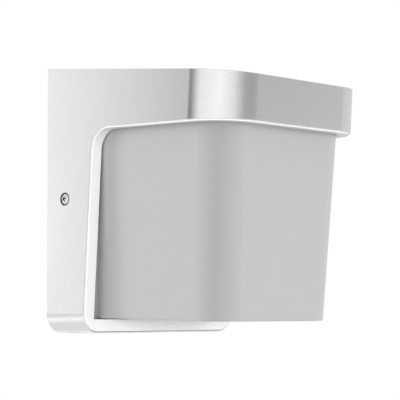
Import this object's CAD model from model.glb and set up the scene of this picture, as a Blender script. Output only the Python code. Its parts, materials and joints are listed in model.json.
import json
import math

import bmesh
import bpy
from mathutils import Matrix, Vector
from mathutils.bvhtree import BVHTree


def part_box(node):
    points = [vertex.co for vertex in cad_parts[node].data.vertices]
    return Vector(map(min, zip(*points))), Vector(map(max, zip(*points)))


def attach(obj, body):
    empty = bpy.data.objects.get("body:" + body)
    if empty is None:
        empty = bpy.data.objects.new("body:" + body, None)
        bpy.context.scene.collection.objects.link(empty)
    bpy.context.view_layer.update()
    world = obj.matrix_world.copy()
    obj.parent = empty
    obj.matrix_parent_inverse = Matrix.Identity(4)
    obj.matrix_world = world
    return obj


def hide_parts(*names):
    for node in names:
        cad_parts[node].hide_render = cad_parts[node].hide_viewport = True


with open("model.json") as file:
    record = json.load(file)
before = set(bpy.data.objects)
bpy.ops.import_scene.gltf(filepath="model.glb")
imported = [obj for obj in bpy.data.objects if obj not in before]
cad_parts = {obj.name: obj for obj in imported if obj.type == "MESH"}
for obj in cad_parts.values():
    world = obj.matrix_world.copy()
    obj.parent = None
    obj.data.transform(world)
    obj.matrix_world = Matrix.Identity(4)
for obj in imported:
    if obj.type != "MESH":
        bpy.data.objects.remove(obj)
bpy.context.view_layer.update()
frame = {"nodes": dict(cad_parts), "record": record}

# Lengths are in metres, on the frame that the CAD, motion and looks share.
MM = 0.001
RECORD = frame["record"]
SLOT_OF = {part["node"]: part["material_slot"] for part in RECORD["subparts"]}
BODY_OF = {
    name: body for body, members in RECORD["behaviour"]["bodies"].items() for name in members
}


# ---- node helpers ----


def new_material(name):
    """A material with its Principled shader, and a function that adds nodes to it."""
    material = bpy.data.materials.new(name)
    material.use_nodes = True
    return material, material.node_tree, material.node_tree.nodes["Principled BSDF"]


def add_node(tree, kind, inputs=None, **settings):
    """Adds a node. An input is a plain value, or a socket to link from."""
    made = tree.nodes.new(kind)
    for key, value in settings.items():
        setattr(made, key, value)
    for key, value in (inputs or {}).items():
        if isinstance(value, bpy.types.NodeSocket):
            tree.links.new(value, made.inputs[key])
        else:
            made.inputs[key].default_value = value
    return made


def object_noise(tree, stretch, scale, detail=3.0):
    """Noise over the object's own coordinates, stretched along each axis."""
    place = add_node(tree, "ShaderNodeTexCoord").outputs["Object"]
    mapped = add_node(tree, "ShaderNodeMapping", {"Vector": place, "Scale": stretch})
    wave = add_node(
        tree,
        "ShaderNodeTexNoise",
        {"Vector": mapped.outputs["Vector"], "Scale": scale, "Detail": detail},
    )
    return wave.outputs["Fac"]


def remap(tree, value, low, high):
    """Noise from 0.3 to 0.7 spread over low to high."""
    spread = {"Value": value, "From Min": 0.3, "From Max": 0.7, "To Min": low, "To Max": high}
    return add_node(tree, "ShaderNodeMapRange", spread).outputs["Result"]


def tint(tree, value, dark, light):
    ramp = add_node(tree, "ShaderNodeValToRGB", {"Fac": value})
    for stop, place, colour in zip(ramp.color_ramp.elements, (0.3, 0.7), (dark, light)):
        stop.position = place
        stop.color = (*colour, 1)
    return ramp.outputs["Color"]


def bump(tree, shader, height, distance, strength=1.0):
    relief = {"Height": height, "Distance": distance, "Strength": strength}
    tree.links.new(add_node(tree, "ShaderNodeBump", relief).outputs["Normal"], shader.inputs["Normal"])


def shaded(colour, factor):
    return tuple(min(1.0, c * factor) for c in colour)


# ---- materials ----

EVEN = (1, 1, 1)


def metal(name, colour, rough, grain=EVEN, scale=900, spread=0.04, relief=0.00001, uneven=0.04):
    """Metal whose tone, roughness and relief follow a fine grain."""
    material, tree, shader = new_material(name)
    fine = object_noise(tree, grain, scale)
    broad = object_noise(tree, EVEN, 22, 2)
    shader.inputs["Metallic"].default_value = 1.0
    shades = tint(tree, fine, shaded(colour, 1 - uneven), shaded(colour, 1 + uneven))
    tree.links.new(shades, shader.inputs["Base Color"])
    wander = remap(tree, broad, rough - spread, rough + spread)
    tree.links.new(wander, shader.inputs["Roughness"])
    bump(tree, shader, fine, relief, 0.6)
    return material


def plastic(name, colour, rough, scale=1400, relief=0.00002, uneven=0.015, subsurface=0.0):
    """Moulded plastic, rubber or ceramic with a fine skin texture."""
    material, tree, shader = new_material(name)
    fine = object_noise(tree, EVEN, scale)
    broad = object_noise(tree, EVEN, 30, 2)
    shades = tint(tree, broad, shaded(colour, 1 - uneven), shaded(colour, 1 + uneven))
    tree.links.new(shades, shader.inputs["Base Color"])
    tree.links.new(remap(tree, fine, rough - 0.05, rough + 0.05), shader.inputs["Roughness"])
    bump(tree, shader, fine, relief, 0.5)
    if subsurface:
        shader.inputs["Subsurface Weight"].default_value = subsurface
        shader.inputs["Subsurface Radius"].default_value = (1.0, 1.0, 1.0)
        shader.inputs["Subsurface Scale"].default_value = 0.004
    return material


def foam(name, colour):
    """Closed-cell foam: small pits over an uneven skin."""
    material, tree, shader = new_material(name)
    place = add_node(tree, "ShaderNodeTexCoord").outputs["Object"]
    cells = add_node(tree, "ShaderNodeTexVoronoi", {"Vector": place, "Scale": 900})
    shades = tint(tree, cells.outputs["Distance"], shaded(colour, 1.35), shaded(colour, 0.7))
    tree.links.new(shades, shader.inputs["Base Color"])
    shader.inputs["Roughness"].default_value = 0.9
    bump(tree, shader, cells.outputs["Distance"], 0.0003, 0.8)
    return material


# the cover's grain runs around it, level with the ground
BRUSHED = (0.35, 0.35, 1.0)
MATERIALS = {
    "cover_steel": metal(
        "brushed_cover",
        (0.93, 0.93, 0.935),
        0.19,
        grain=BRUSHED,
        scale=1150,
        spread=0.02,
        relief=0.000003,
        uneven=0.042,
    ),
    "rim_white": plastic("white_frame", (0.88, 0.88, 0.885), 0.38),
    "opal": plastic("opal_diffuser", (0.6, 0.6, 0.6), 0.28, 2600, 0.000001, 0.004),
    "foam": foam("seal_foam", (0.09, 0.09, 0.092)),
    "seal_rubber": plastic("silicone_seal", (0.16, 0.16, 0.16), 0.6),
    "washer_rubber": plastic("black_rubber", (0.01, 0.01, 0.01), 0.85, 1200, 0.00004, 0.1),
    "screw_steel": metal("turned_steel", (0.86, 0.86, 0.87), 0.28, EVEN, 2200),
    "zinc_steel": metal("zinc_plate", (0.62, 0.645, 0.67), 0.36, EVEN, 260, 0.07, 0.00002, 0.08),
    "white_plastic": plastic("block_plastic", (0.84, 0.84, 0.81), 0.48),
    "brass": metal("plain_brass", (0.8, 0.6, 0.27), 0.26, EVEN, 1300),
    "holder_plastic": plastic("holder_plastic", (0.83, 0.83, 0.8), 0.42),
    "core_ceramic": plastic("unglazed_ceramic", (0.82, 0.79, 0.7), 0.75, 700, 0.00006, 0.05),
    "bulb_opal": plastic("frosted_globe", (0.87, 0.87, 0.85), 0.42, 1100, 0.00001, 0.005, 0.2),
    "bulb_body": plastic("bulb_collar_plastic", (0.82, 0.82, 0.79), 0.5),
    "bulb_metal": metal("bulb_cap_metal", (0.78, 0.78, 0.78), 0.22, EVEN, 1500),
    "black_insulator": plastic("glass_insulator", (0.012, 0.012, 0.015), 0.14, 800, 0.00001, 0.1),
    "wire_brown": plastic("brown_insulation", (0.13, 0.055, 0.022), 0.45),
    "wire_blue": plastic("blue_insulation", (0.02, 0.08, 0.38), 0.45),
    "wire_green": plastic("green_insulation", (0.2, 0.38, 0.03), 0.45),
}
RECESS = metal("recess_shadow", (0.015, 0.015, 0.016), 0.5)


# ---- mesh helpers ----


def place_piece(name, mesh, *nodes, flat_above=50):
    """A piece that stands for CAD nodes: it takes their body, material slot and finish."""
    data = bpy.data.meshes.new(name)
    mesh.to_mesh(data)
    mesh.free()
    piece = bpy.data.objects.new(name, data)
    bpy.context.scene.collection.objects.link(piece)
    data.shade_smooth()
    data.set_sharp_from_angle(angle=math.radians(flat_above))
    data.materials.append(MATERIALS[SLOT_OF[nodes[0]]])
    weighted = piece.modifiers.new("even_normals", "WEIGHTED_NORMAL")
    weighted.keep_sharp = True
    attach(piece, BODY_OF[nodes[0]])
    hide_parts(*nodes)
    return piece


def cad_mesh(node):
    """The CAD node's own surface with its flat faces whole again."""
    flat_within = math.radians(0.2)
    mesh = bmesh.new()
    mesh.from_mesh(frame["nodes"][node].data)
    bmesh.ops.remove_doubles(mesh, verts=mesh.verts, dist=2e-6)
    bmesh.ops.dissolve_limit(
        mesh, angle_limit=flat_within, verts=mesh.verts[:], edges=mesh.edges[:]
    )
    return mesh


def soften(mesh, width, segments=2, sharper_than=32):
    """Rounds every edge that is sharper than the angle."""
    sharp = [
        edge
        for edge in mesh.edges
        if len(edge.link_faces) == 2 and edge.calc_face_angle(0) > math.radians(sharper_than)
    ]
    bmesh.ops.bevel(
        mesh,
        geom=sharp,
        offset=width,
        offset_type="OFFSET",
        segments=segments,
        profile=0.5,
        affect="EDGES",
        clamp_overlap=False,
    )
    bmesh.ops.remove_doubles(mesh, verts=mesh.verts, dist=1e-6)


# pieces whose flat faces run round an opening are cut into triangles before their edges are rounded
FRAMED = ("rim_frame", "lamp_arm")


def softened(node, width, segments=2):
    """The CAD piece with rounded edges; with no width it keeps its own fine facets."""
    mesh = cad_mesh(node)
    if node in FRAMED:
        bmesh.ops.triangulate(mesh, faces=[face for face in mesh.faces if len(face.verts) > 4])
    if width:
        soften(mesh, width, segments)
    return place_piece(node + "_piece", mesh, node, flat_above=50 if width else 2)


def face_outwards(mesh, faces):
    """Turns a closed set of new faces outwards."""
    volume = 0.0
    for face in faces:
        corners = [v.co for v in face.verts]
        for second, third in zip(corners[1:], corners[2:]):
            volume += corners[0].dot(second.cross(third))
    if volume < 0:
        bmesh.ops.reverse_faces(mesh, faces=faces)


def turned(mesh, rows, axis_place, steps=48, pitch=0.0):
    """Adds a closed turned solid. Rows of (height, radius, thread depth) run once round its section."""
    rings = []
    for height, radius, depth in rows:
        ring = []
        for i in range(steps):
            turn = 2 * math.pi * i / steps
            wave = math.cos(2 * math.pi * height / pitch - turn) if depth else 0.0
            reach = radius + depth * wave
            point = Vector((reach * math.cos(turn), reach * math.sin(turn), height))
            ring.append(mesh.verts.new(axis_place @ point))
        rings.append(ring)
    faces = []
    for lower, upper in zip(rings, rings[1:] + rings[:1]):
        for i in range(steps):
            j = (i + 1) % steps
            faces.append(mesh.faces.new((lower[i], lower[j], upper[j], upper[i])))
    face_outwards(mesh, faces)


def threaded_rows(start, end, radius, depth, pitch, per_turn=10):
    """Rows of a thread that fades in and out over one turn."""
    count = max(2, round((end - start) / pitch * per_turn))
    rows = []
    for i in range(count + 1):
        height = start + (end - start) * i / count
        fade = min(1.0, (height - start) / pitch, (end - height) / pitch)
        rows.append((height, radius, depth * max(0.0, fade)))
    return rows


def rounded_path(points, bend, steps=8):
    """The points joined by straight lines, with each corner turned on a smooth bend."""
    path = [points[0]]
    for before, corner, after in zip(points, points[1:], points[2:]):
        reach = min(bend, (corner - before).length * 0.48, (after - corner).length * 0.48)
        enter = corner + (before - corner).normalized() * reach
        leave = corner + (after - corner).normalized() * reach
        for i in range(steps + 1):
            t = i / steps
            path.append(enter * (1 - t) ** 2 + corner * 2 * t * (1 - t) + leave * t**2)
    path.append(points[-1])
    return path


def tube(mesh, path, radius, sides=14):
    """Adds a closed tube along the path."""
    across = (path[1] - path[0]).orthogonal().normalized()
    rings = []
    for i, place in enumerate(path):
        along = (path[min(i + 1, len(path) - 1)] - path[max(i - 1, 0)]).normalized()
        across = (across - along * across.dot(along)).normalized()
        side = along.cross(across)
        angles = [2 * math.pi * k / sides for k in range(sides)]
        rings.append(
            [
                mesh.verts.new(place + (across * math.cos(a) + side * math.sin(a)) * radius)
                for a in angles
            ]
        )
    faces = [mesh.faces.new(rings[0][::-1]), mesh.faces.new(rings[-1])]
    for first, second in zip(rings, rings[1:]):
        for i in range(sides):
            j = (i + 1) % sides
            faces.append(mesh.faces.new((first[i], first[j], second[j], second[i])))
    face_outwards(mesh, faces)


# ---- pieces ----

# how wide each piece's edges are rounded, in millimetres
EDGE_WIDTHS = {
    "housing": 0.35,
    "rim_frame": 0.3,
    "wall_seal": 0.5,
    "diffuser": 0,
    "diffuser_seal": 0.2,
    "flange_screws": 0.12,
    "flange_washers": 0.15,
    "left_washer": 0.35,
    "right_washer": 0.35,
    "left_nut": 0.3,
    "right_nut": 0.3,
    "wall_bracket": 0.3,
    "cable_grommet": 0.4,
    "terminal_block": 0.3,
    "terminal_screws": 0.15,
    "block_screws": 0.15,
    "cord_clamp": 0.4,
    "clamp_screws": 0.15,
    "earth_screw": 0.15,
    "earth_tag": 0.15,
    "lamp_arm": 0.3,
    "arm_screws": 0.15,
    "holder_cap": 0.3,
    "holder_body": 0.6,
    "holder_core": 0.3,
    "centre_contact": 0.15,
    "side_contact": 0.15,
    "holder_nipple": 0.3,
    "nipple_nut": 0.25,
    "bulb_globe": 0.2,
    "bulb_collar": 0.4,
    "bulb_insulator": 0.2,
    "bulb_tip": 0.25,
}
for part, width in EDGE_WIDTHS.items():
    softened(part, width * MM)


HEAD_HEIGHT = 1.9 * MM
RECESS_REACH = 2.2 * MM
M4_PITCH = 0.7 * MM
M4_DEPTH = 0.17 * MM
M4_MIDDLE = 1.8 * MM  # between the thread's crests and roots
AXIS_HOLE = 0.02 * MM  # a turned solid keeps this far from its axis


def off_axis(place, centre):
    """Distance from an axis that runs along X through the centre."""
    return math.hypot(place.y - centre.y, place.z - centre.z)


def screw_head(node, cut_at, outwards):
    """The CAD screw's head alone, closed where the shank was, with its cross recess dark."""
    low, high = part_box(node)
    centre = (low + high) / 2
    top = high.x if outwards > 0 else low.x
    mesh = cad_mesh(node)
    cut = bmesh.ops.bisect_plane(
        mesh,
        geom=mesh.verts[:] + mesh.edges[:] + mesh.faces[:],
        plane_co=(cut_at, 0, 0),
        plane_no=(outwards, 0, 0),
        clear_inner=True,
    )
    rim = [g for g in cut["geom_cut"] if isinstance(g, bmesh.types.BMEdge)]
    bmesh.ops.holes_fill(mesh, edges=rim)
    bmesh.ops.recalc_face_normals(mesh, faces=mesh.faces)
    for face in mesh.faces:
        place = face.calc_center_median()
        depth = abs(top - place.x)
        if off_axis(place, centre) < RECESS_REACH and 0.45 * MM < depth < 1.2 * MM:
            face.material_index = 1
    return mesh


def side_screw(side):
    """Pan head from the CAD with a real M4 thread below it."""
    node = f"{side}_screw"
    low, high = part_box(node)
    centre = (low + high) / 2
    outwards = -1 if side == "left" else 1
    top, tip = (low.x, high.x) if side == "left" else (high.x, low.x)
    under_head = top - outwards * HEAD_HEIGHT
    length = abs(tip - under_head)
    rows = [(0, AXIS_HOLE, 0), (0, M4_MIDDLE, 0)]
    rows += threaded_rows(0.3 * MM, length - 0.7 * MM, M4_MIDDLE, M4_DEPTH, M4_PITCH, 7)
    rows += [(length, 1.2 * MM, 0), (length, AXIS_HOLE, 0)]
    inwards = Matrix.Rotation(-outwards * math.pi / 2, 4, "Y")
    place = Matrix.Translation((under_head, centre.y, centre.z)) @ inwards
    mesh = screw_head(node, under_head - outwards * 0.05 * MM, outwards)
    turned(mesh, rows, place, 28, M4_PITCH)
    screw = place_piece(f"{node}_piece", mesh, node, flat_above=25)
    screw.data.materials.append(RECESS)


def dark_screw_holes():
    """The walls of the two holes that the side screws sit in stay dark."""
    hole_reach, hole_floor = 5.3 * MM, 77 * MM
    low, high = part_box("left_screw")
    centre = (low + high) / 2
    cover = bpy.data.objects["housing_piece"].data
    cover.materials.append(RECESS)
    for face in cover.polygons:
        near_screw = off_axis(face.center, centre) < hole_reach and abs(face.center.x) > hole_floor
        if near_screw and abs(face.normal.x) < 0.4:
            face.material_index = 1


def dark_gap():
    """The frame's walls that face the diffuser across the narrow gap stay dark."""
    widest_gap = 0.9 * MM
    cup = bmesh.new()
    cup.from_mesh(frame["nodes"]["diffuser"].data)
    surface = BVHTree.FromBMesh(cup)
    cup.free()
    rim = bpy.data.objects["rim_frame_piece"].data
    rim.materials.append(RECESS)
    for face in rim.polygons:
        place, _, _, distance = surface.find_nearest(face.center)
        towards = (place - face.center).normalized()
        if distance < widest_gap and towards.dot(face.normal) > 0.7:
            face.material_index = 1


side_screw("left")
side_screw("right")
dark_screw_holes()
dark_gap()

E27_PITCH = 25.4 / 7 * MM  # seven turns to the inch


def lamp_axis(node):
    """Where the node's upright axis stands, and its lowest and highest levels."""
    low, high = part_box(node)
    return Matrix.Translation(((low.x + high.x) / 2, (low.y + high.y) / 2, 0)), low.z, high.z


def rolled_wall(rows_outside, rows_top, start, end, inner_end, outer, skin, depth):
    """Rows of a thin threaded sleeve: up the outside, over the top, and down the inside."""
    outside = threaded_rows(start, end, outer, depth, E27_PITCH, 12)
    inside = threaded_rows(start, inner_end, outer - skin, depth, E27_PITCH, 12)
    low = rows_outside[0][0]
    return rows_outside + outside + rows_top + inside[::-1] + [(low, outer - skin, 0)]


def threaded_sleeve(node, rows, place):
    mesh = bmesh.new()
    turned(mesh, rows, place, 64, E27_PITCH)
    place_piece(f"{node}_piece", mesh, node)


def bulb_cap():
    """Rolled screw cap, with the shoulder that holds the insulator."""
    place, low, high = lamp_axis("bulb_cap")
    outer, skin, depth = 12.75 * MM, 0.45 * MM, 0.4 * MM
    shoulder = high - 3 * MM
    over_top = [
        (shoulder + 0.3 * MM, 12.2 * MM, 0),
        (shoulder + 1.0 * MM, 11.4 * MM, 0),
        (high, 7.9 * MM, 0),
        (high - 0.6 * MM, 7.1 * MM, 0),
        (shoulder - 0.2 * MM, 11 * MM, 0),
    ]
    start, end, inner_end = low + 1.5 * MM, shoulder - 0.5 * MM, shoulder - 0.8 * MM
    rows = rolled_wall([(low, outer, 0)], over_top, start, end, inner_end, outer, skin, depth)
    threaded_sleeve("bulb_cap", rows, place)


def holder_shell():
    """Brass screw shell with the matching rolled thread."""
    place, low, high = lamp_axis("holder_shell")
    outer, skin, depth = 14.05 * MM, 0.4 * MM, 0.25 * MM
    flare = [(low, 14.3 * MM, 0), (low + 1 * MM, outer, 0)]
    over_top = [
        (high - 1 * MM, outer, 0),
        (high, 13.4 * MM, 0),
        (high, 9.2 * MM, 0),
        (high - 0.6 * MM, 9.2 * MM, 0),
        (high - 0.6 * MM, 13.1 * MM, 0),
    ]
    start, end = low + 2 * MM, high - 3 * MM
    rows = rolled_wall(flare, over_top, start, end, end, outer, skin, depth)
    threaded_sleeve("holder_shell", rows, place)


bulb_cap()
holder_shell()

WIRE_RADIUS = 1.1 * MM
WIRE_BEND = 6 * MM


def wire(node, points):
    """An insulated wire along points in millimetres."""
    path = rounded_path([Vector(point) * MM for point in points], WIRE_BEND)
    mesh = bmesh.new()
    tube(mesh, path, WIRE_RADIUS)
    place_piece(node + "_piece", mesh, node)


def lead_route(side):
    """From a pole of the block, up the bracket, along the arm and down the nipple."""
    pole, plate_edge, nipple = side * 10, side * 17, side * 1.7
    arm_top = 79.6
    return [
        (pole, -6.4, -1),
        (pole, -6.4, 8),
        (plate_edge, -7, 26),
        (plate_edge, -7, 72),
        (side * 14, -13, arm_top),
        (nipple, -28, arm_top),
        (nipple, -88, arm_top),
        (nipple, -100, 85),
        (nipple, -106, 85),
        (nipple, -106, 64),
    ]


EARTH_ROUTE = [
    (0, -6.4, -1),
    (0, -6.4, 8),
    (8, -10, 16),
    (28, -8, 14),
    (36, -3.75, 0),
    (36, -3.75, -22.6),
]

wire("wire_live", lead_route(-1))
wire("wire_neutral", lead_route(1))
wire("wire_earth", EARTH_ROUTE)


# ---- studio ----

WHITE = (1, 1, 1, 1)
SOFT_LIGHT = 0.8
CEILING = (0.72, 0.72, 0.72, 1)
# level of the cards round the horizon, by azimuth in degrees: 0 is in front, -90 on the left
CARDS = (
    (-180, 0.8),
    (-150, 1.24),
    (-140, 1.09),
    (-134, 0.6),
    (-130, 0.14),
    (-122, 0.2),
    (-113, 0.5),
    (-101, 0.84),
    (-50, 0.98),
    (-20, 0.78),
    (8, 0.33),
    (28, 0.32),
    (44, 0.37),
    (56, 0.58),
    (120, 0.7),
    (180, 0.8),
)
# level of the floor that the metal reflects, by distance in metres from the point below the lantern
FLOOR_RINGS = (
    (0, 1.0),
    (2.4, 1.0),
    (3.6, 0.75),
    (5.04, 0.75),
    (6.6, 1.02),
    (9, 1.0),
    (12, 0.72),
)


def direction(azimuth, elevation):
    turn, rise = math.radians(azimuth), math.radians(elevation)
    return Vector((math.sin(turn) * math.cos(rise), -math.cos(turn) * math.cos(rise), math.sin(rise)))


def level_ramp(tree, share, stops):
    """Grey that follows share through the stops, each (place, level)."""
    node = add_node(tree, "ShaderNodeValToRGB", {"Fac": share})
    ramp = node.color_ramp
    while len(ramp.elements) < len(stops):
        ramp.elements.new(0.5)
    for stop, (place, level) in zip(ramp.elements, stops):
        stop.position = place
        stop.color = (level, level, level, 1)
    return node.outputs["Color"]


def by_ray(tree, kind, otherwise, for_kind):
    """One shader for rays of a kind and another for all others."""
    rays = add_node(tree, "ShaderNodeLightPath").outputs
    sockets = {0: rays[kind], 1: otherwise.outputs[0], 2: for_kind.outputs[0]}
    return add_node(tree, "ShaderNodeMixShader", sockets)


def card_ring(tree, toward):
    """Cards round the horizon, a little brighter low down, under an even ceiling."""
    forward = add_node(tree, "ShaderNodeMath", {0: toward["Y"], 1: -1.0}, operation="MULTIPLY")
    turn_inputs = {0: toward["X"], 1: forward.outputs[0]}
    turn = add_node(tree, "ShaderNodeMath", turn_inputs, operation="ARCTAN2")
    whole_turn = {"Value": turn.outputs[0], "From Min": -math.pi, "From Max": math.pi}
    share = add_node(tree, "ShaderNodeMapRange", whole_turn).outputs["Result"]
    cards = level_ramp(tree, share, [((degrees + 180) / 360, level) for degrees, level in CARDS])
    low_down = {"Value": toward["Z"], "From Min": -0.1, "From Max": 0.12, "To Min": 1.15, "To Max": 1.0}
    falloff = add_node(tree, "ShaderNodeMapRange", low_down).outputs["Result"]
    ring = add_node(
        tree,
        "ShaderNodeMix",
        {"Factor": 1.0, 6: cards, 7: falloff},
        data_type="RGBA",
        blend_type="MULTIPLY",
    )
    overhead = {"Value": toward["Z"], "From Min": 0.15, "From Max": 0.5}
    rise = add_node(tree, "ShaderNodeMapRange", overhead).outputs["Result"]
    sky = {0: rise, 6: ring.outputs[2], 7: CEILING}
    return add_node(tree, "ShaderNodeMix", sky, data_type="RGBA").outputs[2]


def studio_world():
    """White to the camera, cards to the metal, and an even soft light to all else."""
    world = bpy.data.worlds.new("studio")
    bpy.context.scene.world = world
    world.use_nodes = True
    tree = world.node_tree
    tree.nodes.clear()
    place = add_node(tree, "ShaderNodeTexCoord").outputs["Generated"]
    toward = add_node(tree, "ShaderNodeSeparateXYZ", {"Vector": place}).outputs
    cards = add_node(tree, "ShaderNodeBackground", {"Color": card_ring(tree, toward), "Strength": 1.0})
    soft = add_node(tree, "ShaderNodeBackground", {"Color": WHITE, "Strength": SOFT_LIGHT})
    backdrop = add_node(tree, "ShaderNodeBackground", {"Color": WHITE, "Strength": 1.0})
    light = by_ray(tree, "Is Glossy Ray", soft, cards)
    shown = by_ray(tree, "Is Camera Ray", light, backdrop)
    output = add_node(tree, "ShaderNodeOutputWorld")
    tree.links.new(shown.outputs[0], output.inputs["Surface"])


def soft_lamp(name, azimuth, elevation, strength, spread=25, only_for=None):
    """A broad distant lamp that brightens faces, or one piece, without showing in the metal."""
    lamp = bpy.data.lights.new(name, "SUN")
    lamp.energy = strength
    lamp.angle = math.radians(spread)
    holder = bpy.data.objects.new(name, lamp)
    bpy.context.scene.collection.objects.link(holder)
    holder.rotation_mode = "QUATERNION"
    holder.rotation_quaternion = direction(azimuth, elevation).to_track_quat("Z", "Y")
    holder.visible_glossy = False
    if only_for:
        lit = bpy.data.collections.new(name)
        lit.objects.link(only_for)
        holder.light_linking.receiver_collection = lit


def floor_material():
    """Matte, white to the camera, and in soft rings of light to the metal."""
    material = bpy.data.materials.new("floor_white")
    material.use_nodes = True
    tree = material.node_tree
    tree.nodes.clear()
    reach = FLOOR_RINGS[-1][0]
    place = add_node(tree, "ShaderNodeTexCoord").outputs["Object"]
    away = add_node(tree, "ShaderNodeVectorMath", {0: place}, operation="LENGTH").outputs["Value"]
    share = add_node(tree, "ShaderNodeMath", {0: away, 1: reach}, operation="DIVIDE").outputs[0]
    glow = level_ramp(tree, share, [(distance / reach, level) for distance, level in FLOOR_RINGS])
    matte = add_node(tree, "ShaderNodeBsdfDiffuse", {"Color": (0.7, 0.7, 0.7, 1)})
    mirrored = add_node(tree, "ShaderNodeEmission", {"Color": WHITE, "Strength": glow})
    white = add_node(tree, "ShaderNodeEmission", {"Color": WHITE, "Strength": 1.0})
    light = by_ray(tree, "Is Glossy Ray", matte, mirrored)
    shown = by_ray(tree, "Is Camera Ray", light, white)
    output = add_node(tree, "ShaderNodeOutputMaterial")
    tree.links.new(shown.outputs[0], output.inputs["Surface"])
    material.cycles.emission_sampling = "NONE"
    return material


def pale_floor(reach, level):
    """Plain floor well below the lantern, so that views from under it stay clear."""
    corners = [(x * reach, y * reach, level) for x, y in ((-1, -1), (1, -1), (1, 1), (-1, 1))]
    mesh = bpy.data.meshes.new("floor")
    mesh.from_pydata(corners, [], [(0, 1, 2, 3)])
    mesh.materials.append(floor_material())
    floor = bpy.data.objects.new("floor", mesh)
    bpy.context.scene.collection.objects.link(floor)


def aim_camera(place, azimuth, elevation, lens, shift):
    """Camera that looks back along azimuth and elevation."""
    data = bpy.data.cameras.new("camera")
    camera = bpy.data.objects.new("camera", data)
    bpy.context.scene.collection.objects.link(camera)
    camera.location = place
    camera.rotation_mode = "QUATERNION"
    camera.rotation_quaternion = (-direction(azimuth, elevation)).to_track_quat("-Z", "Y")
    data.sensor_width = 36
    data.lens = lens
    data.shift_y = shift
    data.clip_start, data.clip_end = 0.01, 100
    data.dof.use_dof = False
    bpy.context.scene.camera = camera


studio_world()
soft_lamp("left_lamp", azimuth=-144, elevation=8, strength=1.22)
soft_lamp("right_lamp", azimuth=36, elevation=8, strength=1.0)
soft_lamp(
    "frame_lamp",
    azimuth=-50,
    elevation=-8,
    strength=6.4,
    spread=40,
    only_for=bpy.data.objects["rim_frame_piece"],
)
pale_floor(reach=60.0, level=-3.0)
aim_camera(
    (-0.9083, -0.9296, -0.0817), azimuth=-46.971, elevation=-3.365, lens=147.61, shift=0.03
)
bpy.context.scene.view_settings.view_transform = "Standard"
